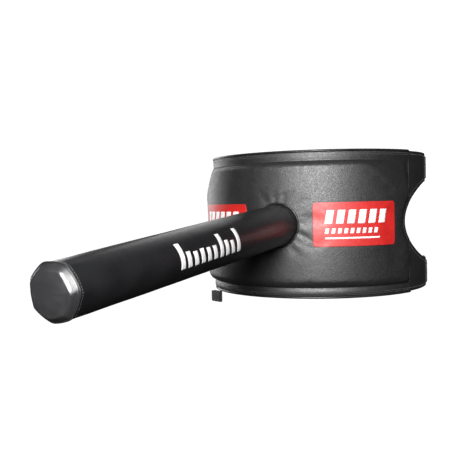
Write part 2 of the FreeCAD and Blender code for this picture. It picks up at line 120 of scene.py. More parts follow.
STRAP_SEWN_FROM = math.radians(93)
STRAP_THICK = 2.2 * MM
TAPE_WIDTH = 0.038
TAPE_RIBS = 0.1 * MM, 2.4 * MM  # depth and pitch
ROOT_RADIUS = 0.035
SEAM_RADIUS = 0.030
CORE_RADIUS = 0.0143
CORE_FROM = 0.070
SOCKET_RADIUS = 0.0168
SOCKET_TO = 0.0665
CAP_FACE_RADIUS = 0.024
BADGE_ANGLE = math.radians(35.2)
BADGE_HALF_WIDTH = 0.0722
BADGE_HALF_HEIGHT = 0.037
BADGE_CORNER = 0.005
BADGE_THICK = 0.9 * MM
BADGE_LIFT = 0.55 * MM  # from the cover to the badge's middle
LOOP_ANGLE = math.radians(-50.0)
LOOP_TWIST = math.radians(24.0)
LOOP_RADIUS = 0.2085
LOOP_WIDTH = 0.026

EDGE_ROUNDING = 1.2 * MM
THREAD = 0.42 * MM
BEAD_END_RINGS = 3
AROUND = 96  # points round the arm
TURNS = [2 * math.pi * k / AROUND for k in range(AROUND)]

DICE = random.Random(7)


# ---------------------------------------------------------------- small helpers
def polar(radius, angle, z=0.0):
    """A point that far from the bag's axis, at that angle round it."""
    return Vector((radius * math.sin(angle), -radius * math.cos(angle), z))


def round_arm(angle):
    """Direction straight out from the arm's axis at that angle round it."""
    return math.cos(angle) * ARM_UP + math.sin(angle) * ARM_ACROSS


def on_arm(along, angle, radius):
    """A point that far along the arm and from its axis, at that angle round it."""
    return PIVOT + along * ARM_OUT + radius * round_arm(angle)


def mix(a, b, share):
    return a + (b - a) * share


def smooth(low, high, value):
    """0 below low, 1 above high, and an even curve between them."""
    share = min(max((value - low) / (high - low), 0.0), 1.0)
    return share * share * (3 - 2 * share)


def rounded(distance, width, power=2.2):
    """Height of a padded edge, from 0 at its foot to 1 at that width inside it."""
    share = 1 - min(max(distance / width, 0.0), 1.0)
    return (1 - share**power) ** (1 / power)


def ripple(point, size, seed=0.0):
    """Even random waves of about that size, from about -1 to 1."""
    return noise.noise(Vector(point) / size + Vector((seed, 2.3 * seed, -seed)))


def spread(*stretches):
    """Numbers from each (start, end, step), evenly spaced, each stretch starting at the last one's end."""
    values = []
    for start, end, step in stretches:
        count = max(1, round(abs(end - start) / step))
        values += [mix(start, end, i / count) for i in range(count)]
    return values + [stretches[-1][1]]


# ---------------------------------------------------------------- materials
class Finish:
    """A procedural material while it is made: a Principled shader, and short ways to add nodes to it."""

    def __init__(self, name, slot, roughness=0.5, **sockets):
        self.material = bpy.data.materials.new(name)
        self.material.use_nodes = True
        self.slot = slot
        self.tree = self.material.node_tree
        self.shader = self.tree.nodes["Principled BSDF"]
        self.set("Roughness", roughness)
        for socket, value in sockets.items():
            self.set(socket.replace("_", " "), value)
        self.place = self.add("ShaderNodeTexCoord").outputs["Object"]
        self.normal = None

    def set(self, socket, value):
        target = self.shader.inputs[socket]
        if isinstance(value, bpy.types.NodeSocket):
            self.tree.links.new(value, target)
        else:
            target.default_value = value

    def add(self, kind, settings=None, **inputs):
        node = self.tree.nodes.new(kind)
        for name, value in (settings or {}).items():
            setattr(node, name, value)
        for name, value in inputs.items():
            socket = node.inputs[int(name[1:])] if name[0] == "i" else node.inputs[name]
            if isinstance(value, bpy.types.NodeSocket):
                self.tree.links.new(value, socket)
            else:
                socket.default_value = value
        return node

    def noise(self, size, detail=3.0, place=None):
        """Cloudy values from 0 to 1, in lumps of about that size."""
        node = self.add("ShaderNodeTexNoise", Vector=place or self.place, Scale=1 / size, Detail=detail)
        return node.outputs["Fac"]

    def cells(self, size):
        """Values that rise from 0 in the middle of each pebble of about that size."""
        return self.add("ShaderNodeTexVoronoi", Vector=self.place, Scale=1 / size).outputs["Distance"]

    def math(self, operation, a, b=0.5):
        """The result of one sum on one or two values."""
        return self.add("ShaderNodeMath", {"operation": operation}, i0=a, i1=b).outputs[0]

    def ramp(self, value, low, high, to_low=0.0, to_high=1.0):
        """The value with its range from low to high stretched to another."""
        node = self.add("ShaderNodeMapRange", Value=value)
        for socket, number in zip(("From Min", "From Max", "To Min", "To Max"), (low, high, to_low, to_high)):
            node.inputs[socket].default_value = number
        return node.outputs["Result"]

    def colour(self, share, dark, light):
        """Base colour that goes from dark to light."""
        node = self.add("ShaderNodeMix", {"data_type": "RGBA"}, i0=share, i6=(*dark, 1), i7=(*light, 1))
        self.set("Base Color", node.outputs[2])

    def bump(self, height, depth):
        """Adds relief of that depth in metres to what is there."""
        node = self.add("ShaderNodeBump", Height=height, Distance=depth, Strength=1.0)
        if self.normal is not None:
            self.tree.links.new(self.normal, node.inputs["Normal"])
        self.normal = node.outputs["Normal"]
        self.set("Normal", self.normal)

    def uneven_roughness(self, size, low, high):
        self.set("Roughness", self.ramp(self.noise(size), 0.35, 0.65, low, high))


def leather(name, dark, light, roughness, grain, depth, wrinkle_depth=0.0003, gloss=0.5, slot=None):
    """Coated leatherette: pebbled grain, faint cloudy colour and slightly uneven gloss."""
    finish = Finish(name, slot or name, roughness, Specular_IOR_Level=gloss)
    finish.colour(finish.ramp(finish.noise(0.03), 0.35, 0.65), dark, light)
    patches = finish.ramp(finish.noise(grain * 6), 0.3, 0.7, 0.6, 1)
    pebbles = finish.math("MULTIPLY", finish.cells(grain), patches)
    finish.bump(finish.noise(0.012, 4), wrinkle_depth)
    finish.bump(pebbles, depth)
    finish.uneven_roughness(grain * 2.5, roughness - 0.06, roughness + 0.06)
    return finish


def woven(name, dark, light, across_threads, along_threads, depth, rough=0.8, slot=None):
    """Cloth or webbing whose threads follow the piece."""
    finish = Finish(name, slot or name, rough, Specular_IOR_Level=0.3, Sheen_Weight=0.25, Sheen_Roughness=0.5)
    flat_place = finish.add("ShaderNodeUVMap", {"uv_map": "flat"}).outputs["UV"]
    split = finish.add("ShaderNodeSeparateXYZ", Vector=flat_place)
    u = finish.math("MULTIPLY", split.outputs["X"], 2 * math.pi / along_threads)
    v = finish.math("MULTIPLY", split.outputs["Y"], 2 * math.pi / across_threads)
    warp = finish.math("SINE", finish.math("ADD", u, v))
    weft = finish.math("SINE", finish.math("SUBTRACT", u, v))
    weave = finish.ramp(finish.math("MULTIPLY", warp, weft), -1, 1)
    fuzz = finish.noise(across_threads / 2, 2)
    finish.colour(finish.math("MULTIPLY", weave, finish.ramp(fuzz, 0.2, 0.8, 0.5, 1)), dark, light)
    finish.bump(weave, depth)
    finish.bump(fuzz, depth / 2)
    return finish


def red_badge():
    finish = Finish("badge_red", "badge_red", 0.52, Specular_IOR_Level=1.0)
    finish.colour(finish.ramp(finish.noise(0.02), 0.3, 0.7), (0.47, 0.006, 0.004), (0.56, 0.010, 0.007))
    finish.bump(finish.noise(0.006, 4), 0.0002)
    finish.bump(finish.cells(0.0009), 0.00004)
    finish.uneven_roughness(0.004, 0.47, 0.56)
    return finish


def white_print():
    finish = Finish("print_white", "badge_red", 0.45, Specular_IOR_Level=0.5)
    finish.colour(finish.ramp(finish.noise(0.004, 5), 0.3, 0.6), (0.74,) * 3, (0.86,) * 3)
    finish.bump(finish.noise(0.0012, 3), 0.00005)
    return finish


def moulded(name, dark, light, roughness, grain=0.0012):
    """Moulded plastic or rubber with a fine eroded texture."""
    finish = Finish(name, name, roughness, Specular_IOR_Level=0.45)
    finish.colour(finish.ramp(finish.noise(0.01, 5), 0.35, 0.65), dark, light)
    finish.bump(finish.noise(grain, 4), 0.0001)
    finish.uneven_roughness(0.006, roughness - 0.08, roughness + 0.08)
    return finish


def metal(name, dark, light, roughness, streak=(1, 1, 1)):
    """Bare or plated metal with cloudy tone, faint scratches and worn gloss."""
    finish = Finish(name, name, roughness, Metallic=1.0)
    stretched = finish.add("ShaderNodeMapping", Vector=finish.place)
    stretched.inputs["Scale"].default_value = streak
    scratches = finish.noise(0.0012, 6, stretched.outputs["Vector"])
    finish.colour(finish.noise(0.006, 4), dark, light)
    finish.set("Roughness", finish.ramp(scratches, 0.3, 0.7, roughness - 0.1, roughness + 0.12))
    finish.bump(scratches, 0.00003)
    return finish


def pile(name, dark, light, size, depth):
    """Hook-and-loop tape: rows of hooks, or a mat of soft loops."""
    finish = Finish(name, name, 0.85, Specular_IOR_Level=0.25, Sheen_Weight=0.4, Sheen_Roughness=0.4)
    tufts = finish.cells(size)
    finish.colour(finish.ramp(tufts, 0.1, 0.7), light, dark)
    finish.bump(tufts, depth)
    finish.bump(finish.noise(size * 0.6, 3), depth / 2)
    return finish


def grey(level, blue=0.001):
    return level, level, level + blue


FINISHES = {
    "cuff": leather("cuff_leather", grey(0.008), grey(0.013), 0.50, 0.0011, 0.00022, gloss=1.0),
    "arm": leather("arm_vinyl", grey(0.006), grey(0.010), 0.38, 0.0008, 0.00003, 0.0002),
    "cap": leather("cap_vinyl", grey(0.015), grey(0.022), 0.36, 0.0008, 0.00004, gloss=1.0),
    "piping": leather("piping_vinyl", grey(0.010), grey(0.016), 0.38, 0.0007, 0.00005, slot="piping"),
    "thread": woven(
        "stitch_thread", grey(0.05, 0.002), grey(0.11, 0.002), 0.0004, 0.0004, 0.00005, 0.6, slot="piping"
    ),
    "lining": woven(
        "lining_weave", grey(0.012), grey(0.04, 0.002), 0.0012, 0.0012, 0.0001, slot="lining_fabric"
    ),
    "webbing": woven("webbing_weave", grey(0.010), grey(0.045), 0.0022, 0.0018, 0.0003, 0.72, slot="webbing"),
    "hooks": pile("hook_tape", grey(0.012), grey(0.05, 0.002), 0.0011, 0.0005),
    "loops": pile("loop_tape", grey(0.014), grey(0.055, 0.002), 0.0007, 0.0004),
    "badge": red_badge(),
    "print": white_print(),
    "plate": moulded("plate_plastic", grey(0.020), grey(0.034, 0.002), 0.5),
    "zinc": metal("zinc_steel", (0.42, 0.43, 0.45), (0.62, 0.63, 0.64), 0.34),
    "rubber": moulded("buffer_rubber", grey(0.012, 0), (0.026, 0.025, 0.025), 0.66, 0.0008),
    "aluminium": metal("core_aluminium", (0.56, 0.57, 0.58), (0.72, 0.72, 0.73), 0.30, (6, 0.5, 6)),
    "plug": moulded("plug_plastic", grey(0.11, 0.005), grey(0.16, 0.005), 0.45),
}


# ---------------------------------------------------------------- pieces
def make_piece(name, points, faces, finish, body=None, flat=None):
    """A smooth mesh piece, with its place along and across it kept as UVs if flat has them."""
    mesh = bpy.data.meshes.new(name)
    mesh.from_pydata([tuple(point) for point in points], [], faces)
    mesh.update()
    obj = bpy.data.objects.new(name, mesh)
    bpy.context.scene.collection.objects.link(obj)
    mesh.materials.append(FINISHES[finish].material)
    mesh.polygons.foreach_set("use_smooth", [True] * len(mesh.polygons))
    if flat is not None:
        layer = mesh.uv_layers.new(name="flat")
        for loop in mesh.loops:
            layer.data[loop.index].uv = flat[loop.vertex_index]
    if body is not None:
        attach(obj, body)
    return obj


def subdivide(obj):
    """Rounds the mesh by one level of subdivision, as part of the mesh itself."""
    modifier = obj.modifiers.new("rounding", "SUBSURF")
    modifier.levels = 1
    modifier.render_levels = 1
    bpy.context.view_layer.update()
    graph = bpy.context.evaluated_depsgraph_get()
    rounder = obj.evaluated_get(graph)
    mesh = bpy.data.meshes.new_from_object(rounder, preserve_all_data_layers=True, depsgraph=graph)
    old = obj.data
    obj.modifiers.clear()
    obj.data = mesh
    mesh.name = obj.name
    bpy.data.meshes.remove(old)


def two_sided(rows, columns, front, back, keep=lambda i, j: True):
    """Points and faces of a closed piece with a front and a back sheet on one grid.

    front and back give a point for (row, column). keep says which cells are there, and walls
    close the piece wherever a cell has no neighbour. The last two results are the grid cell and the
    place in both sheets that each point came from.
    """
    points = [front(i, j) for i in range(rows) for j in range(columns)]
    points += [back(i, j) for i in range(rows) for j in range(columns)]
    under = rows * columns
    cells = {(i, j) for i in range(rows - 1) for j in range(columns - 1) if keep(i, j)}
    faces = []
    for i, j in sorted(cells):
        a, b = i * columns + j, i * columns + j + 1
        d, c = a + columns, b + columns
        faces.append((a, b, c, d))
        faces.append((d + under, c + under, b + under, a + under))
        for (di, dj), start, end in (((-1, 0), a, b), ((0, 1), b, c), ((1, 0), c, d), ((0, -1), d, a)):
            if (i + di, j + dj) not in cells:
                faces.append((end, start, start + under, end + under))
    used = sorted({index for face in faces for index in face})
    place = {old: new for new, old in enumerate(used)}
    faces = [tuple(place[index] for index in face) for face in faces]
    return [points[index] for index in used], faces, [index % under for index in used], used


def strip_slab(name, rows, columns, spot, half, finish, finer=True, butted=False):
    """A closed sheet with soft edges. spot(u, v, offset) is a point that far off its middle surface.

    half is half its thickness. A butted sheet keeps its thickness along its first edge.
    """
    def thickness(i, j):
        start = half if butted else columns[j] - columns[0]
        edge = min(start, columns[-1] - columns[j], rows[i] - rows[0], rows[-1] - rows[i])
        return half * mix(0.35, 1.0, rounded(edge, EDGE_ROUNDING, 2.0))

    points, faces, cells, _ = two_sided(
        len(rows),
        len(columns),
        lambda i, j: spot(columns[j], rows[i], thickness(i, j)),
        lambda i, j: spot(columns[j], rows[i], -thickness(i, j)),
    )
    flat = [(columns[cell % len(columns)], rows[cell // len(columns)]) for cell in cells]
    obj = make_piece(name, points, faces, finish, flat=flat)
    if finer:
        subdivide(obj)
    return obj


def edge_spread(low, high, step):
    """Evenly spaced values with closer ones near both ends, for a rounded edge."""
    inner_low, inner_high, fine = low + EDGE_ROUNDING, high - EDGE_ROUNDING, EDGE_ROUNDING / 3
    return spread((low, inner_low, fine), (inner_low, inner_high, step), (inner_high, high, fine))


def bead(name, path, radius, finish, body=None, sides=12, closed=False):
    """A round piping along a list of points. radius may be a function of the point's index."""
    size = radius if callable(radius) else (lambda index: radius)
    rings = []
    side = None
    for index, point in enumerate(path):
        before = path[index - 1] if index or closed else point
        after = path[(index + 1) % len(path)] if index + 1 < len(path) or closed else point
        ahead = (after - before).normalized()
        if side is None:
            side = ahead.orthogonal().normalized()
        side = (side - ahead * side.dot(ahead)).normalized()
        rings.append((point, side.copy(), ahead.cross(side), size(index), ahead))
    if not closed:
        rings = rounded_ends(rings)
    points = []
    for centre, sideways, upwards, ring_radius, _ in rings:
        for k in range(sides):
            turn = 2 * math.pi * k / sides
            points.append(centre + ring_radius * (math.cos(turn) * sideways + math.sin(turn) * upwards))
    total = len(rings)
    faces = []
    for i in range(total if closed else total - 1):
        following = (i + 1) % total
        shift = closest_shift(points, i * sides, sides) if closed and following == 0 else 0
        for k in range(sides):
            a, b = i * sides + k, i * sides + (k + 1) % sides
            c = following * sides + (k + 1 + shift) % sides
            d = following * sides + (k + shift) % sides
            faces.append((a, b, c, d))
    if not closed:
        faces.append(tuple(reversed(range(sides))))
        faces.append(tuple(range((total - 1) * sides, total * sides)))
    return make_piece(name, points, faces, finish, body)


def closest_shift(points, last, sides):
    """How far a closed bead's last ring has turned against its first."""
    distances = [(points[last] - points[k]).length for k in range(sides)]
    return distances.index(min(distances))


def rounded_ends(rings):
    """Adds shrinking rings at both ends of an open bead."""
    def tip(ring, sign):
        centre, side, upwards, radius, ahead = ring
        out = []
        for k in range(1, BEAD_END_RINGS + 1):
            turn = 0.5 * math.pi * k / (BEAD_END_RINGS + 0.3)
            middle = centre + sign * ahead * radius * math.sin(turn)
            out.append((middle, side, upwards, radius * math.cos(turn), ahead))
        return out

    return tip(rings[0], -1)[::-1] + rings + tip(rings[-1], 1)


def stitches(name, path, normals, body=None, length=2.3 * MM, pitch=3.4 * MM):
    """A row of separate sewn stitches that lie half sunk along a path."""
    points, faces = [], []
    sides, profile = 6, ((-0.5, 0.25), (-0.32, 0.85), (0.0, 1.0), (0.32, 0.85), (0.5, 0.25))
    for centre, ahead, normal in resample(path, normals, pitch):
        side = ahead.cross(normal).normalized()
        tilt = ahead + side * DICE.uniform(-0.06, 0.06)
        first = len(points)
        for share, thickness in profile:
            sink = (1 - thickness) * THREAD
            middle = centre + tilt * length * share + normal * (0.15 * THREAD - sink)
            for k in range(sides):
                turn = 2 * math.pi * k / sides
                points.append(middle + THREAD * thickness * (math.cos(turn) * side + math.sin(turn) * normal))
        for i in range(len(profile) - 1):
            for k in range(sides):
                a, b = first + i * sides + k, first + i * sides + (k + 1) % sides
                faces.append((a, b, b + sides, a + sides))
        faces.append(tuple(first + k for k in reversed(range(sides))))
        faces.append(tuple(first + (len(profile) - 1) * sides + k for k in range(sides)))
    flat = [(point.x + point.y, point.z) for point in points]
    return make_piece(name, points, faces, "thread", body, flat)


def resample(path, normals, pitch):
    """(point, direction, normal) at even distances along a path."""
    places, travelled, wanted = [], 0.0, pitch / 2
    for (a, b), (na, nb) in zip(zip(path, path[1:]), zip(normals, normals[1:])):
        step = (b - a).length
        while step > 0 and travelled + step >= wanted:
            share = (wanted - travelled) / step
            places.append((mix(a, b, share), (b - a) / step, mix(na, nb, share).normalized()))
            wanted += pitch
        travelled += step
    return places


def relax(obj, held, free, pressure, slack, frames, most):
    """How far a cloth simulation moves each point of a piece held at some of them, and never over most."""
    scene = bpy.context.scene
    count = len(obj.data.vertices)
    start = np.empty(count * 3)
    obj.data.vertices.foreach_get("co", start)
    start = start.reshape(-1, 3)
    group = obj.vertex_groups.new(name="held")
    group.add(held, 1.0, "REPLACE")
    group.add(free, 0.0, "REPLACE")
    modifier = obj.modifiers.new("cloth", "CLOTH")
    settings = modifier.settings
    settings.vertex_group_mass = "held"
    settings.quality = 5
    settings.mass = 0.4
    settings.tension_stiffness = 25
    settings.compression_stiffness = 25
    settings.shear_stiffness = 12
    settings.bending_stiffness = 2.5
    settings.use_pressure = True
    settings.uniform_pressure_force = pressure
    settings.effector_weights.gravity = 0
    settings.shrink_min = -slack
    modifier.point_cache.frame_start = 1
    modifier.point_cache.frame_end = frames
    for step in range(1, frames + 1):
        scene.frame_set(step)
    graph = bpy.context.evaluated_depsgraph_get()
    end = np.array([vertex.co for vertex in obj.evaluated_get(graph).data.vertices])
    scene.frame_set(1)
    obj.modifiers.remove(modifier)
    obj.vertex_groups.remove(group)
    move = end - start
    far = np.linalg.norm(move, axis=1)
    far[~np.isfinite(far)] = 0
    share = np.where(far > 1e-9, most * np.tanh(far / most) / np.maximum(far, 1e-9), 0)
    return np.nan_to_num(move * share[:, None])


def surface_of(obj):
    """The piece's faces, for finding points on it."""
    points = [vertex.co.copy() for vertex in obj.data.vertices]
    return BVHTree.FromPolygons(points, [tuple(face.vertices) for face in obj.data.polygons])


# ---------------------------------------------------------------- the cuff's outer form
def panel_edge(z):
    """Angle of the front panel's end at that height: straight, but for the crescent cut into it."""
    share = 1 - (z / CRESCENT_HALF_HEIGHT) ** 2
    if share <= 0:
        return PANEL_ANGLE
    across = CRESCENT_HALF_WIDTH * math.sqrt(share) / BORDER_RADIUS
    return min(PANEL_ANGLE, CRESCENT_CENTRE - math.asin(min(across, 1.0)))


def tab_edge(angle):
    """Height of a tab's lower edge at that angle."""
    if angle >= CRESCENT_CENTRE:
        return CRESCENT_HALF_HEIGHT
    across = BORDER_RADIUS * math.sin(CRESCENT_CENTRE - angle) / CRESCENT_HALF_WIDTH
    return CRESCENT_HALF_HEIGHT * math.sqrt(max(0.0, 1 - across * across))


def to_crescent(angle, z):
    """Distance from the crescent that the padding keeps to, positive on the padding's side."""
    a, b = CRESCENT_HALF_WIDTH + FOOT_TO_CRESCENT, CRESCENT_HALF_HEIGHT + FOOT_TO_CRESCENT
    across = BORDER_RADIUS * math.sin(min(CRESCENT_CENTRE - abs(angle), math.pi / 2))
    level = (across / a) ** 2 + (z / b) ** 2 - 1
    slope = 2 * math.hypot(across / a**2, z / b**2)
    return level / slope


def padding(angle, z):
    """How far the padding has risen there, from 0 on the sewn border to 1."""
    to_end = smooth(math.radians(38), math.radians(62), abs(angle)) if z > 0 else 0.0
    rise = mix(RISE_ABOVE if z > 0 else RISE_BELOW, RISE_ABOVE_AT_ENDS, to_end)
    top = rounded(FOOT_HEIGHT - abs(z), rise, mix(2.2, 1.5, to_end))
    side = rounded((FOOT_ANGLE - abs(angle)) * BORDER_RADIUS, RISE_BESIDE, 2.0)
    crescent = rounded(to_crescent(angle, z), RISE_BESIDE, 2.0)
    return top * side * crescent


def border_bulge(z):
    """The sewn border is rounded over its filling, more along the lower edge than the upper."""
    share = (abs(z) - FOOT_HEIGHT) / (PANEL_TOP - FOOT_HEIGHT)
    if not 0 < share < 1:
        return 0.0
    return (BULGE_BELOW if z < 0 else BULGE_ABOVE) * math.sin(math.pi * share) ** 0.8


# Creases beside the arm's root: where, which way, how long, how wide and how deep.
ROOT_CREASES = (
    (0.006, 0.049, 15, 0.018, 0.0045, 0.0009),
    (0.026, 0.056, 60, 0.012, 0.0050, 0.0004),
    (0.046, -0.020, -28, 0.016, 0.0045, 0.0011),
    (0.054, -0.036, -50, 0.018, 0.0060, 0.0005),
    (-0.047, 0.020, 160, 0.014, 0.0050, 0.0010),
    (-0.020, -0.050, 70, 0.014, 0.0050, 0.0010),
)


def root_puckers(point):
    """Height of the gathers in the cover round the arm's root, less the creases beside it."""
    away = math.hypot(point.x, point.z)
    turn = math.atan2(point.x, point.z)
    fade = smooth(0.034, 0.040, away) * (1 - smooth(0.044, 0.075, away))
    gathers = 0.00022 * fade * math.sin(13 * turn + 2.2 * math.sin(3 * turn))
    dents = 0.0
    for x, z, tilt, length, width, depth in ROOT_CREASES:
        tilt = math.radians(tilt)
        right, up = point.x - x, point.z - z
        ahead = right * math.cos(tilt) + up * math.sin(tilt)
        aside = up * math.cos(tilt) - right * math.sin(tilt)
        dents += depth * math.exp(-((ahead / length) ** 2) - (aside / width) ** 2)
    return gathers - dents


def cover_radius(angle, z):
    """Outside of the cuff's cover before its cloth simulation."""
    bow = max(0.0, 1 - (z / (FOOT_HEIGHT - 0.004)) ** 2)
    dome = mix(SHOULDER_RADIUS, DOME_RADIUS, bow)
    return mix(BORDER_RADIUS + border_bulge(z), dome, padding(angle, z))


CUFF_ROWS = spread(
    (-PANEL_TOP, -FOOT_HEIGHT, 2 * MM),
    (-FOOT_HEIGHT, -0.095, 1.3 * MM),
    (-0.095, 0.095, 3 * MM),
    (0.095, FOOT_HEIGHT, 1.3 * MM),
    (FOOT_HEIGHT, PANEL_TOP, 2 * MM),
)
CUFF_COLUMNS = spread(
    (-1, -0.95, 0.005),
    (-0.95, -0.80, 0.008),
    (-0.80, 0.80, 0.0125),
    (0.80, 0.95, 0.008),
    (0.95, 1, 0.005),
)


def cuff_place(i, j):
    z = CUFF_ROWS[i]
    return CUFF_COLUMNS[j] * panel_edge(z), z


def round_the_hole(point):
    """Moves a point next to the sleeve's hole onto its circle."""
    away = math.hypot(point.x, point.z)
    if point.y < 0 and away < SLEEVE_HOLE + 2.1 * MM:
        share = SLEEVE_HOLE / max(away, 1e-6)
        point.x *= share
        point.z *= share


def cuff_skin():
    rows, columns = len(CUFF_ROWS), len(CUFF_COLUMNS)

    def front(i, j):
        angle, z = cuff_place(i, j)
        point = polar(cover_radius(angle, z), angle, z)
        outwards = polar(1, angle)
        return point + outwards * root_puckers(point) * padding(angle, z)

    def back(i, j):
        angle, z = cuff_place(i, j)
        return polar(COVER_BACK, angle, z)

    def keep(i, j):
        corners = [cuff_place(a, b) for a in (i, i + 1) for b in (j, j + 1)]
        return any(math.hypot(BORDER_RADIUS * math.sin(angle), z) > SLEEVE_HOLE for angle, z in corners)

    points, faces, _, used = two_sided(rows, columns, front, back, keep)
    obj = make_piece("cuff_skin", points, faces, "cuff")
    puff_cuff(obj, used, rows * columns)
    for vertex in obj.data.vertices:
        round_the_hole(vertex.co)
    subdivide(obj)
    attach(obj, "cuff")
    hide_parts("cuff_cover", "cuff_foam")
    return obj


def puff_cuff(obj, used, under):
    """Lets the cover's front swell over its foam, held along its border and round the arm."""
    free, held = [], []
    for index, old in enumerate(used):
        co = obj.data.vertices[index].co
        angle = math.atan2(co.x, -co.y)
        loose = old < under and padding(angle, co.z) > 0.9 and math.hypot(co.x, co.z) > 0.040
        (free if loose else held).append(index)
    move = relax(obj, held, free, pressure=2.0, slack=0.004, frames=16, most=0.9 * MM)
    for index in free:
        vertex = obj.data.vertices[index]
        vertex.co += Vector(move[index])
    obj.data.update()


# ---------------------------------------------------------------- pieces on the cuff
def lining():
    """The cloth between the cuff and the bag, faintly rippled on the bag's side."""
    rows = edge_spread(-PANEL_TOP, PANEL_TOP, 4 * MM)
    columns = edge_spread(-PANEL_ANGLE * LINING_RADIUS, PANEL_ANGLE * LINING_RADIUS, 4 * MM)
    middle = (BAG_RADIUS + LINING_RADIUS) / 2
    half = (LINING_RADIUS - BAG_RADIUS) / 2
    width = columns[-1]

    def spot(u, v, offset):
        angle = u / width * panel_edge(v)
        wave = 0.25 * MM * ripple((u, v, 0), 0.02, 3.0) if offset < 0 else 0
        return polar(middle + offset + max(wave, 0), angle, v)

    obj = strip_slab("lining", rows, columns, spot, half, "lining", finer=False)
    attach(obj, "cuff")
    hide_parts("cuff_lining")


def skin_point(tree, angle, z):
    """Point and normal on a piece, straight in towards the bag's axis."""
    spot, normal, _, _ = tree.ray_cast(polar(BEYOND_CUFF, angle, z), -polar(1, angle))
    return (spot, normal) if spot is not None else (polar(BORDER_RADIUS, angle, z), polar(1, angle))


def stitch_on(name, tree, places, body=None):
    """A row of stitches laid on a piece through (angle, height) places."""
    found = [skin_point(tree, angle, z) for angle, z in places]
    return stitches(name, [spot for spot, _ in found], [normal for _, normal in found], body)


def long_edges(tree):
    """Piping along the cuff's upper and lower edges, and two rows of stitches beside each."""
    radius = (PIPING_BOX[1].z - PANEL_TOP) / 2 + 0.4 * MM
    for side, word, node in ((1, "top", "cuff_top_piping"), (-1, "bottom", "cuff_bottom_piping")):
        centre_z = side * (PIPING_BOX[1].z - radius)
        angles = spread((-PANEL_ANGLE, PANEL_ANGLE, 0.012))
        waves = [0.15 * MM * ripple((angle * 5, side, 0), 0.3) for angle in angles]
        path = [polar(BORDER_RADIUS - 0.6 * MM + wave, angle, centre_z) for angle, wave in zip(angles, waves)]
        swell = lambda index: radius * (1 + 0.05 * ripple((index * 0.7, 0, 0), 1.0, side))
        obj = bead(f"{word}_piping", path, swell, "piping", "cuff", sides=14)
        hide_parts(node)
        for row, inset in enumerate((2.6 * MM, 5.6 * MM)):
            places = [(a, side * (PANEL_TOP - inset)) for a in angles[1:-1]]
            stitch_on(f"{word}_stitches_{row + 1}", tree, places, "cuff")


def panel_ends(tree):
    """Binding and stitches along the crescent part of both ends of the front panel."""
    meet = tab_edge(PANEL_ANGLE)
    heights = spread((-meet, meet, 2 * MM))
    for side, word in ((1, "right"), (-1, "left")):
        path = [polar(BORDER_RADIUS - 1.6 * MM, side * panel_edge(z), z) for z in heights]
        bead(f"{word}_end_binding", path, 1.7 * MM, "piping", "cuff")
        inset = 4.5 * MM / BORDER_RADIUS
        places = [(side * (panel_edge(z) - inset), z) for z in heights]
        stitch_on(f"{word}_end_stitches", tree, places, "cuff")


def badge(name, node, centre, tree):
    """Rounded red patch that lies on the cover."""
    rows = edge_spread(-BADGE_HALF_HEIGHT, BADGE_HALF_HEIGHT, 3 * MM)
    columns = edge_spread(-BADGE_HALF_WIDTH, BADGE_HALF_WIDTH, 3 * MM)

    def spot(u, v, offset):
        angle = centre + math.asin(u / BADGE_HALF_WIDTH * badge_half_width(v) / DOME_RADIUS)
        return skin_point(tree, angle, v)[0] + polar(1, angle) * (BADGE_LIFT + offset)

    obj = strip_slab(name, rows, columns, spot, BADGE_THICK / 2, "badge")
    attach(obj, "cuff")
    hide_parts(node)
    return obj


def badge_half_width(v):
    """Half the badge's width at that height, with its corners rounded."""
    into = max(0.0, abs(v) - (BADGE_HALF_HEIGHT - BADGE_CORNER))
    return BADGE_HALF_WIDTH - BADGE_CORNER + math.sqrt(max(0.0, BADGE_CORNER**2 - into * into))


def badge_marks(name, centre, tree):
    """Plain slanted bars printed on a badge: a tall row, a short row and a rule."""
    bars = []
    for count, first, pitch, width, low, high, slant in (
        (6, -0.052, 0.0185, 0.0125, 0.001, 0.024, 0.004),
        (9, -0.053, 0.0105, 0.0062, -0.0155, -0.0065, 0.0016),
        (1, -0.053, 0.0, 0.094, -0.0245, -0.0215, 0.0),
    ):
        lefts = [first + k * pitch for k in range(count)]
        bars += [(left, left + width, low, high, slant) for left in lefts]

    def spot(x, z, offset):
        angle = centre + math.asin(x / DOME_RADIUS)
        return skin_point(tree, angle, z)[0] + polar(1, angle) * offset

    printed_bars(name, bars, spot, "cuff")


def printed_bars(name, bars, spot, body):
    """Thin raised bars, each (left, right, low, high, slant), laid on a surface by spot(x, y, offset)."""
    points, faces = [], []
    for left, right, low, high, slant in bars:
        rows = spread((0, 1, 1.5 * MM / abs(high - low)))
        columns = spread((0, 1, 1.5 * MM / abs(right - left)))

        def place(i, j, offset):
            x = mix(left, right, columns[j]) + slant * (rows[i] - 0.5)
            return spot(x, mix(low, high, rows[i]), offset)

        some, more, _, _ = two_sided(
            len(rows), len(columns), lambda i, j: place(i, j, 0.22 * MM), lambda i, j: place(i, j, -0.15 * MM)
        )
        first = len(points)
        points += some
        faces += [tuple(first + index for index in face) for face in more]
    return make_piece(name, points, faces, "print", body)


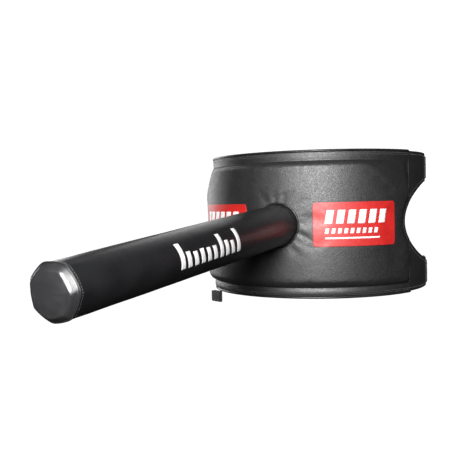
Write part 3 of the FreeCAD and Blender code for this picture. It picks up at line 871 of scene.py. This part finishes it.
def tie_loop():
    """Folded webbing under the cuff's lower edge: down one side, round the fold and up the other."""
    half_gap, thick = 1.8 * MM, 1.4 * MM
    middle_radius = half_gap + thick / 2
    straight = LOOP_DROP - half_gap - thick
    round_bag = Vector((math.cos(LOOP_ANGLE), math.sin(LOOP_ANGLE), 0))
    turn = Matrix.Rotation(LOOP_TWIST, 3, "Z")
    across = turn @ round_bag
    outwards = turn @ polar(1, LOOP_ANGLE)
    origin = polar(LOOP_RADIUS, LOOP_ANGLE, LOOP_TOP)
    fold = math.pi * middle_radius
    total = 2 * straight + fold

    def spot(u, v, offset):
        angle = min(max((u - straight) / middle_radius, 0.0), math.pi)
        depth = min(u, total - u, straight) + middle_radius * math.sin(angle)
        down = depth + offset * math.sin(angle)
        sideways = (middle_radius + offset) * math.cos(angle)
        slump = 0.35 * MM * math.sin(math.pi * depth / LOOP_DROP) * math.cos(v / LOOP_WIDTH * 2)
        return origin + across * v + outwards * (sideways + slump) - Vector((0, 0, down))

    rows = edge_spread(-LOOP_WIDTH / 2, LOOP_WIDTH / 2, 1.5 * MM)
    columns = spread((0, total, 0.7 * MM))
    obj = strip_slab("tie_loop_webbing", rows, columns, spot, thick / 2, "webbing", finer=False)
    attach(obj, "tie_loop")
    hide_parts("tie_loop")


# ---------------------------------------------------------------- tabs and straps
def flip(obj, signs):
    """Mirrors a mesh into its place, and keeps its faces turned outwards."""
    obj.data.transform(Matrix.Diagonal((*signs, 1)))
    if signs[0] * signs[2] < 0:
        obj.data.flip_normals()
    obj.data.update()


def mirrored(point, signs):
    return Vector([value * sign for value, sign in zip(point, signs)])


def tab_span(angle):
    """Lowest and highest point of an upper tab at that angle, with its free corners rounded."""
    low, high = tab_edge(angle), PANEL_TOP
    left = (TAB_END - angle) * BORDER_RADIUS
    if left < TAB_CORNER:
        into = TAB_CORNER - left
        inset = TAB_CORNER - math.sqrt(max(0.0, TAB_CORNER**2 - into**2))
        low, high = low + inset, high - inset
    return low, high


def make_tab(name):
    """The right upper tab. Its rows share out its height, which grows and shrinks along it."""
    height = 0.05
    rows = edge_spread(0, height, 2 * MM)
    start, end = TAB_ROOT * BORDER_RADIUS, TAB_END * BORDER_RADIUS
    columns = spread((start, end - TAB_CORNER, 2.5 * MM), (end - TAB_CORNER, end, 0.6 * MM))
    middle = (BAG_RADIUS + BORDER_RADIUS) / 2
    half = (BORDER_RADIUS - BAG_RADIUS) / 2

    def spot(u, v, offset):
        angle = u / BORDER_RADIUS
        z = mix(*tab_span(angle), v / height)
        if offset > 0:
            offset += 0.5 * MM * math.sin(math.pi * v / height) + 0.35 * MM * ripple((u, z, 0), 0.025, 5.0)
        return polar(middle + offset, angle, z)

    return strip_slab(name, rows, columns, spot, half, "cuff", butted=True)


def tab_rim(inset):
    """Places round a tab's free edges, that far inside them, as (angle, height)."""
    step = 2 * MM / BORDER_RADIUS
    ends = inset / BORDER_RADIUS
    angles = spread((TAB_ROOT, TAB_END - ends, step))
    lower = [(angle, tab_span(angle + ends)[0] + inset) for angle in angles]
    upper = [(angle, tab_span(angle + ends)[1] - inset) for angle in reversed(angles)]
    low, high = lower[-1][1], upper[0][1]
    return lower + [(angles[-1], z) for z in spread((low, high, 2 * MM))[1:-1]] + upper


def sew_tab(prefix, tab, signs):
    """Binding round a tab's free edges and a row of stitches inside it."""
    path = [mirrored(polar(BORDER_RADIUS - 1.6 * MM, angle, z), signs) for angle, z in tab_rim(0.3 * MM)]
    bend_over_fold(bead(f"{prefix}_tab_binding", path, 1.65 * MM, "piping"), signs)
    places = [(signs[0] * angle, signs[2] * z) for angle, z in tab_rim(4.5 * MM)[1:-1]]
    bend_over_fold(stitch_on(f"{prefix}_tab_stitches", surface_of(tab), places), signs)


def bend_over_fold(obj, signs):
    """Bakes the piece's placement into its mesh. The points where the tab's leather bends as it leaves the panel
    are found, but the piece is not bent.
    """
    start, end = (mirrored(polar(BORDER_RADIUS, angle), signs) for angle in FOLD)
    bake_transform(obj)


def strap_inside(stations):
    """Inside radius of a strap as a function of angle, even between its (degrees, radius) stations."""
    stations = [(math.radians(degrees), radius) for degrees, radius in stations]

    def radius(angle):
        for (a0, r0), (a1, r1) in zip(stations, stations[1:]):
            if angle <= a1:
                return mix(r0, r1, smooth(a0, a1, angle))
        return stations[-1][1]

    return radius


def make_strap(name, inside, start, end, width, thick, finish, ribs=0.12 * MM, rib_pitch=1.8 * MM):
    """Flat woven strap round the bag, with fine cross ribs and soft edges."""
    middle_radius = inside(mix(start, end, 0.5)) + thick / 2
    columns = spread((start * middle_radius, end * middle_radius, rib_pitch / 4))
    rows = edge_spread(-width / 2, width / 2, 2.6 * MM)

    def spot(u, v, offset):
        angle = u / middle_radius
        rib = ribs * math.cos(2 * math.pi * (u + 0.12 * abs(v)) / rib_pitch)
        trim = rib * (1 if offset > 0 else -1) * (1 - smooth(width / 2 - 2 * MM, width / 2, abs(v)))
        return polar(inside(angle) + thick / 2 + offset + min(trim, 0), angle, STRAP_MIDDLE + v)

    return strip_slab(name, rows, columns, spot, thick / 2, finish, finer=False)


def box_stitches(prefix, tree, signs):
    """A sewn box with a cross in it, which holds a strap to its tab."""
    left, right, half_height = math.radians(95), math.radians(108), 0.014
    corners = (
        (left, -1), (right, -1), (right, 1), (left, 1), (left, -1), (right, 1), (right, -1), (left, 1)
    )
    places = []
    for (a0, side0), (a1, side1) in zip(corners, corners[1:]):
        for share in spread((0, 1, 1 / 12))[:-1]:
            z = STRAP_MIDDLE + half_height * mix(side0, side1, share)
            places.append((signs[0] * mix(a0, a1, share), signs[2] * z))
    stitch_on(f"{prefix}_box_stitches", tree, places, f"{prefix}_flap")


# Each side's straps as (degrees, inside radius) stations. Its tapes: their finish, the end of their CAD
# node's name, their inside radius, where they start and end in degrees, and their thickness.
STRAPS = {
    "right": ((112.3, 0.2032), (165, 0.2062), (208, 0.2062)),
    "left": ((112, 0.2032), (140, 0.2002), (187, 0.2002)),
}
TAPES = {
    "right": ("hooks", "hook_tape", 0.2046, 175, 207, 1.6 * MM),
    "left": ("loops", "loop_tape", 0.2024, 149, 186, 1.8 * MM),
}


def fastenings():
    """The four tabs, each with its strap and tape."""
    for side in ("right", "left"):
        for level in ("upper", "lower"):
            fasten(side, f"{side}_{level}", (1 if side == "right" else -1, 1, 1 if level == "upper" else -1))


def fasten(side, prefix, signs):
    """A tab sewn to the panel, its strap, and the tape at the strap's end."""
    flap = f"{prefix}_flap"
    tab = make_tab(f"{prefix}_tab_cover")
    flip(tab, signs)
    sew_tab(prefix, tab, signs)
    bend_over_fold(tab, signs)
    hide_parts(f"{prefix}_tab")

    end = math.radians(STRAPS[side][-1][0])
    inside = strap_inside(STRAPS[side])
    strap = make_strap(f"{prefix}_webbing", inside, STRAP_SEWN_FROM, end, STRAP_WIDTH, STRAP_THICK, "webbing")
    flip(strap, signs)
    box_stitches(prefix, surface_of(strap), signs)
    if side == "right":
        peel = Vector(JOINTS[f"{prefix}_strap_peel"]["pos_m"])
        at, radius = math.atan2(peel.x, -peel.y), math.hypot(peel.x, peel.y)
        start, end = (polar(radius, at + math.radians(degrees)) for degrees in (-1, 5))
        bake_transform(strap)
        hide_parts(f"{prefix}_strap_base", f"{prefix}_strap")
    else:
        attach(strap, flap)
        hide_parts(f"{prefix}_strap")

    finish, node, tape_inside, start, end, thick = TAPES[side]
    start, end = math.radians(start), math.radians(end)
    inside = strap_inside(((0, tape_inside),))
    tape = make_strap(f"{prefix}_{finish}", inside, start, end, TAPE_WIDTH, thick, finish, *TAPE_RIBS)
    flip(tape, signs)
    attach(tape, f"{prefix}_strap" if side == "right" else flap)
    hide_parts(f"{prefix}_{node}")


# ---------------------------------------------------------------- the arm
def sleeve_radius(along):
    return mix(ROOT_RADIUS, SEAM_RADIUS, (along - COLLAR_END) / (SEAM_AT - COLLAR_END))


def revolve(name, rings, finish):
    """A closed tube from rings, each a function that gives a point for an angle round the arm."""
    points = [ring(turn) for ring in rings for turn in TURNS]
    faces = []
    for i in range(len(rings)):
        first, second = i * AROUND, (i + 1) % len(rings) * AROUND
        for k in range(AROUND):
            after = (k + 1) % AROUND
            faces.append((first + k, second + k, second + after, first + after))
    obj = make_piece(name, points, faces, finish)
    fix_normals(obj)
    return obj


def sleeve_surface(along, angle):
    """Outside radius of the sleeve: tight vinyl with a faint sag, and folds where it meets the cuff."""
    point = on_arm(along, angle, ROOT_RADIUS)
    long_wave = 0.30 * MM * ripple(point, 0.06, 1.0)
    near_root = 1 - smooth(0.012, 0.060, along)
    folds = 0.45 * MM * near_root * math.sin(7 * angle + 1.5 * math.sin(2 * angle)) * ripple(point, 0.02, 9.0)
    near_seam = smooth(SEAM_AT - 0.035, SEAM_AT - 0.003, along)
    gathers = 0.20 * MM * near_seam * ripple((6 * math.cos(angle), 6 * math.sin(angle), along * 20), 1.0, 4.0)
    seam_dip = 0.8 * MM * smooth(SEAM_AT - 0.005, SEAM_AT, along)
    lengthwise = 0.45 * MM * math.exp(-(((angle - math.pi) * ROOT_RADIUS / 0.0035) ** 2))
    radius = sleeve_radius(along) + long_wave + folds + gathers - seam_dip + lengthwise
    to_cap = smooth(SEAM_AT - 0.045, SEAM_AT, along)
    return (radius + 0.9 * MM * to_cap) * cornered(angle, 0.5 * to_cap)


def sleeve_path(name, places, length=2.3 * MM, pitch=3.4 * MM):
    """Stitches on the sleeve through (distance along, angle) places."""
    path = [on_arm(along, angle, sleeve_surface(along, angle)) for along, angle in places]
    stitches(name, path, [round_arm(angle) for _, angle in places], "arm", length, pitch)


def arm_skin():
    """The sleeve: a vinyl tube, closed at both ends round the foam, with a seam along its lower side."""
    start, end = COLLAR_END - 0.0015, SEAM_AT
    root, near_seam = start + 0.006, end - 0.04
    outer = spread((start, root, 1.5 * MM), (root, near_seam, 5 * MM), (near_seam, end, 2 * MM))

    def outside(along):
        return lambda turn: on_arm(along, turn, sleeve_surface(along, turn))

    def plain(along, radius):
        return lambda turn: on_arm(along, turn, radius)

    rings = [outside(along) for along in outer]
    rings += [plain(end, 0.026), plain(end, CORE_RADIUS), plain(CORE_FROM, CORE_RADIUS)]
    rings += [plain(SOCKET_TO, SOCKET_RADIUS), plain(start, SOCKET_RADIUS), plain(start, 0.030)]
    obj = revolve("arm_skin", rings, "arm")
    bend_from, bend_to = (PIVOT + ARM_OUT * along for along in (COLLAR_END - 3 * MM, COLLAR_END + 8 * MM))
    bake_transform(obj)
    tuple(bend_from)
    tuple(bend_to)
    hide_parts("arm_cover", "arm_foam")
    for row, aside in enumerate((-3.4 * MM, 3.4 * MM)):
        angle = math.pi + aside / ROOT_RADIUS
        places = [(along, angle) for along in spread((0.022, SEAM_AT - 0.004, 4 * MM))]
        sleeve_path(f"sleeve_stitches_{row + 1}", places)


def fix_normals(obj):
    """Turns all faces outwards."""
    work = bmesh.new()
    work.from_mesh(obj.data)
    bmesh.ops.recalc_face_normals(work, faces=work.faces)
    work.to_mesh(obj.data)
    work.free()


def arm_print():
    """Plain slanted bars printed along the arm's +X side."""
    first, pitch, width, low, full_height, slant = 0.222, 0.0172, 0.0098, -0.0185, 0.037, 0.006
    bars = []
    for k, height in enumerate((1.0, 0.55, 0.62, 0.95, 0.55, 0.55, 0.58, 0.55, 0.62, 1.0)):
        left = first + k * pitch
        bars.append((left, left + width, low, low + full_height * height, slant))

    def spot(along, up, offset):
        angle = math.radians(80) - up / ROOT_RADIUS
        return on_arm(along, angle, sleeve_surface(along, angle) + offset)

    fix_normals(printed_bars("arm_print", bars, spot, "arm"))


def on_cover(tree, angle, radius):
    """Distance along the arm at which a line beside it meets the cuff's cover, and the normal there."""
    spot, normal, _, _ = tree.ray_cast(on_arm(0.05, angle, radius), -ARM_OUT)
    return (0.0, -ARM_OUT) if spot is None else ((spot - PIVOT).dot(ARM_OUT), normal)


def root_collar(tree):
    """Soft ring of vinyl between the cuff and the sleeve, with a rolled seam on the cuff."""
    base = {turn: on_cover(tree, turn, ROOT_RADIUS + 0.5 * MM)[0] for turn in TURNS}

    def ring(share, radius):
        def point(turn):
            along = mix(base[turn] - 0.4 * MM, COLLAR_END, share)
            waves = ripple(on_arm(along, turn, ROOT_RADIUS), 0.012, 6.0)
            return on_arm(along, turn, radius + 0.35 * MM * waves * math.sin(math.pi * share))

        return point

    shares = [k / 8 for k in range(9)]
    rings = [ring(share, ROOT_RADIUS + 0.8 * MM * math.exp(-((share * 6) ** 2))) for share in shares]
    rings += [ring(share, ROOT_RADIUS - 1.5 * MM) for share in (1.0, 0.5, 0.0)]
    obj = revolve("collar_skin", rings, "arm")
    bend_from, bend_to = (PIVOT + ARM_OUT * along for along in (-1 * MM, COLLAR_END - 3 * MM))
    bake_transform(obj)
    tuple(bend_from)
    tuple(bend_to)
    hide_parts("root_collar")
    roll = ROOT_RADIUS + 1.9 * MM
    path = [on_arm(on_cover(tree, turn, roll)[0] + 0.9 * MM, turn, roll) for turn in TURNS]
    bead("root_seam_roll", path, 1.7 * MM, "piping", "cuff", closed=True)
    for row, radius in enumerate((ROOT_RADIUS + 4.6 * MM, ROOT_RADIUS + 7.0 * MM)):
        around = TURNS + TURNS[:1]
        found = [on_cover(tree, turn, radius) for turn in around]
        path = [on_arm(along, turn, radius) for turn, (along, _) in zip(around, found)]
        normals = [normal for _, normal in found]
        stitches(f"root_stitches_{row + 1}", path, normals, "cuff", length=1.9 * MM, pitch=2.8 * MM)


# Angles round the arm of the cap's seven soft corners and of its steepest facet, how sharp the
# corners are at its seam and round its face, and how much of the way to its middle is bevel.
CAP_CORNERS = tuple(math.radians(angle) for angle in (31, 89, 146, 190, 235, 293, 338))
CAP_STEEP_SIDE = math.radians(60)
SEAM_SHARPNESS, FACE_SHARPNESS = 0.55, 0.85
BEVEL_SHARE = 0.36


def flat_sided(angle):
    """How much nearer to the axis a many-sided outline is than its corners."""
    angle %= 2 * math.pi
    after = next((k for k, corner in enumerate(CAP_CORNERS) if corner > angle), 0)
    start, end = CAP_CORNERS[after - 1], CAP_CORNERS[after]
    half = ((end - start) % (2 * math.pi)) / 2
    off_middle = (angle - start) % (2 * math.pi) - half
    return math.cos(half) / math.cos(off_middle)


def cornered(angle, sharpness):
    """The same with its corners softened, from a circle's 1 at sharpness 0."""
    around = [flat_sided(angle + math.radians(turn)) for turn in (-5, -2.5, 0, 2.5, 5)]
    return mix(1.0, sum(around) / len(around), sharpness)


def cap_surface(share, turn):
    """(distance along, radius) on the cap, from 0 at the seam to 1 in the middle of its face."""
    point = (2.2 * math.cos(turn), 2.2 * math.sin(turn), 5 * share)
    crumple = 0.35 * MM * smooth(0.05, 0.3, share) * ripple(point, 1.0, 2.0)
    steep = 0.5 + 0.5 * math.cos(turn - CAP_STEEP_SIDE)
    edge = mix(CAP_FACE_RADIUS + 1.0 * MM, CAP_FACE_RADIUS - 0.6 * MM, steep)
    face_edge = CAP_FACE - 1.6 * MM
    if share < BEVEL_SHARE:
        t = share / BEVEL_SHARE
        radius = mix(SEAM_RADIUS + 0.4 * MM, edge, t)
        along = mix(SEAM_AT + 1.0 * MM, face_edge, mix(t, math.sin(0.5 * math.pi * t), 0.7))
        sharpness = mix(SEAM_SHARPNESS, FACE_SHARPNESS, t)
        return along + crumple * t, radius * cornered(turn, sharpness) + crumple * t
    t = (share - BEVEL_SHARE) / (1 - BEVEL_SHARE)
    radius = mix(edge, 0.6 * MM, t)
    along = face_edge + 1.1 * MM * math.sin(0.5 * math.pi * min(1.0, 1.8 * t))
    return along + crumple * (1 - t), radius * cornered(turn, FACE_SHARPNESS * (1 - t))


def cap_skin():
    """End cap: a crumpled seven-sided pad sewn to the sleeve along a piped seam."""
    def ring(share):
        places = [cap_surface(share, turn) for turn in TURNS]
        return [on_arm(along, turn, radius) for turn, (along, radius) in zip(TURNS, places)]

    back = SEAM_AT + 0.4 * MM
    rings = [[on_arm(back, turn, radius) for turn in TURNS] for radius in (0.010, SEAM_RADIUS - 1.6 * MM)]
    rings += [ring(share) for share in spread((0, 0.36, 0.036), (0.36, 0.48, 0.03), (0.48, 1, 0.065))]
    points = [point for ring_points in rings for point in ring_points]
    faces = []
    for i in range(len(rings) - 1):
        for k in range(AROUND):
            a, b = i * AROUND + k, i * AROUND + (k + 1) % AROUND
            faces.append((a, a + AROUND, b + AROUND, b))
    faces.append(tuple((len(rings) - 1) * AROUND + k for k in range(AROUND)))
    faces.append(tuple(reversed(range(AROUND))))
    obj = make_piece("cap_skin", points, faces, "cap")
    fix_normals(obj)
    subdivide(obj)
    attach(obj, "arm")
    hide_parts("end_cap_cover", "end_foam")
    seam_radii = [(SEAM_RADIUS + 0.5 * MM) * cornered(turn, SEAM_SHARPNESS) for turn in TURNS]
    seam = [on_arm(SEAM_AT + 0.5 * MM, turn, radius) for turn, radius in zip(TURNS, seam_radii)]
    piping = bead("cap_seam_piping", seam, 1.1 * MM, "piping", "arm", closed=True)
    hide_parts("end_seam_piping")
    places = [(SEAM_AT - 3.0 * MM, turn) for turn in TURNS + [2 * math.pi]]
    sleeve_path("cap_stitches_1", places, length=2.0 * MM, pitch=3.0 * MM)


# ---------------------------------------------------------------- CAD nodes that stay
KEPT = {
    "plate": ("backing_plate",),
    "zinc": ("stud_flange", "flange_screws", "flange_washers", "flange_nuts", "cross_bolt", "cross_nut"),
    "rubber": ("rubber_buffer",),
    "plug": ("arm_socket", "core_end_plug"),
    "aluminium": ("core_tube",),
}


def refinish_kept_nodes():
    """Gives the CAD nodes that still show their detailed materials."""
    for finish, nodes in KEPT.items():
        material = FINISHES[finish].material
        for obj in (frame["nodes"][node] for node in nodes):
            if not obj.material_slots:
                obj.data.materials.append(material)
            for slot in obj.material_slots:
                slot.material = material


# ---------------------------------------------------------------- camera, light and floor
CAMERA_ANGLE = math.radians(18.35)
CAMERA_DISTANCE = 1.3937
CAMERA_HEIGHT = 0.0421
CAMERA_PAN = math.radians(-7.18)
CAMERA_TILT = math.radians(2.32)
CAMERA_ROLL = math.radians(-1.38)
LENS = 54.95
SENSOR_WIDTH = 36


def camera():
    """Stands at an angle round the bag and looks at its axis, then pans, tilts and rolls."""
    outwards = polar(1, CAMERA_ANGLE)
    sideways = Vector((math.cos(CAMERA_ANGLE), math.sin(CAMERA_ANGLE), 0))
    level = -math.cos(CAMERA_PAN) * outwards + math.sin(CAMERA_PAN) * sideways
    ahead = math.cos(CAMERA_TILT) * level + Vector((0, 0, -math.sin(CAMERA_TILT)))
    right = math.cos(CAMERA_PAN) * sideways + math.sin(CAMERA_PAN) * outwards
    up = right.cross(ahead)
    turned_right = math.cos(CAMERA_ROLL) * right + math.sin(CAMERA_ROLL) * up
    turned_up = -math.sin(CAMERA_ROLL) * right + math.cos(CAMERA_ROLL) * up
    data = bpy.data.cameras.new("camera")
    data.lens = LENS
    data.sensor_width = SENSOR_WIDTH
    obj = bpy.data.objects.new("camera", data)
    bpy.context.scene.collection.objects.link(obj)
    basis = Matrix((turned_right, turned_up, -ahead)).transposed().to_4x4()
    obj.matrix_world = Matrix.Translation(CAMERA_DISTANCE * outwards + Vector((0, 0, CAMERA_HEIGHT))) @ basis
    bpy.context.scene.camera = obj


def softbox(name, place, aim, width, height, power, cone=180):
    """A lit panel of that size and power in watts. Its light keeps within a cone of that many degrees."""
    data = bpy.data.lights.new(name, "AREA")
    data.shape = "RECTANGLE"
    data.size = width
    data.size_y = height
    data.energy = power
    data.spread = math.radians(cone)
    obj = bpy.data.objects.new(name, data)
    bpy.context.scene.collection.objects.link(obj)
    direction = Vector(aim) - Vector(place)
    obj.matrix_world = Matrix.Translation(place) @ direction.to_track_quat("-Z", "Y").to_matrix().to_4x4()


FLOOR_HEIGHT = -0.75
FLOOR_REACH = 14.0
FLOOR_CELLS = 24
FLOOR_FLAT_TO = 5.0  # further out it curves up into a backdrop
BACKDROP_WIDTH = 6.0
BACKDROP_HEIGHT = 9.0


def paper():
    """White paper below and behind the object, which gives its own light and shows in no reflection."""
    material = bpy.data.materials.new("studio_paper")
    material.use_nodes = True
    shader = material.node_tree.nodes["Principled BSDF"]
    shader.inputs["Base Color"].default_value = (0.9, 0.9, 0.9, 1)
    shader.inputs["Roughness"].default_value = 0.9
    shader.inputs["Emission Color"].default_value = (1, 1, 1, 1)
    shader.inputs["Emission Strength"].default_value = 1.0
    points, faces = [], []
    places = spread((-FLOOR_REACH, FLOOR_REACH, 2 * FLOOR_REACH / FLOOR_CELLS))
    for x in places:
        for y in places:
            rise = BACKDROP_HEIGHT * smooth(0, BACKDROP_WIDTH, max(0.0, math.hypot(x, y) - FLOOR_FLAT_TO))
            points.append((x, y, FLOOR_HEIGHT + rise))
    for i in range(FLOOR_CELLS):
        for j in range(FLOOR_CELLS):
            a, b = i * len(places) + j, (i + 1) * len(places) + j
            faces.append((a, b, b + 1, a + 1))
    mesh = bpy.data.meshes.new("studio_floor")
    mesh.from_pydata(points, [], faces)
    mesh.polygons.foreach_set("use_smooth", [True] * len(mesh.polygons))
    mesh.materials.append(material)
    floor = bpy.data.objects.new("studio_floor", mesh)
    bpy.context.scene.collection.objects.link(floor)
    floor.visible_glossy = False
    floor.visible_diffuse = False


def studio():
    """White paper, a dim grey surround and five lights."""
    scene = bpy.context.scene
    scene.view_settings.view_transform = "Standard"
    world = bpy.data.worlds.new("studio")
    world.use_nodes = True
    world.node_tree.nodes["Background"].inputs["Color"].default_value = (0.018, 0.018, 0.018, 1)
    scene.world = world
    paper()
    softbox("key", (0.62, -2.2, 0.62), (0.05, -0.2, 0), 0.8, 0.8, 92)
    softbox("left_back", (-1.7, 0.7, 0.4), (0, -0.2, 0), 0.7, 1.6, 18)
    softbox("top", (0.0, -0.4, 2.2), (0, -0.3, 0), 1.6, 1.2, 2.5)
    softbox("back", (-0.8, 2.0, 1.0), (0, 0.1, 0), 1.2, 0.9, 8)
    softbox("right", (0.95, -1.20, 0.62), (0.02, -0.81, -0.04), 0.42, 0.30, 0.60, cone=30)


camera()
studio()
skin = cuff_skin()
skin_tree = surface_of(skin)
lining()
long_edges(skin_tree)
panel_ends(skin_tree)
for badge_side, badge_centre in (("right", BADGE_ANGLE), ("left", -BADGE_ANGLE)):
    patch = badge(f"{badge_side}_badge_patch", f"{badge_side}_badge", badge_centre, skin_tree)
    badge_marks(f"{badge_side}_badge_print", badge_centre, surface_of(patch))
tie_loop()
fastenings()
root_collar(skin_tree)
arm_skin()
arm_print()
cap_skin()
refinish_kept_nodes()
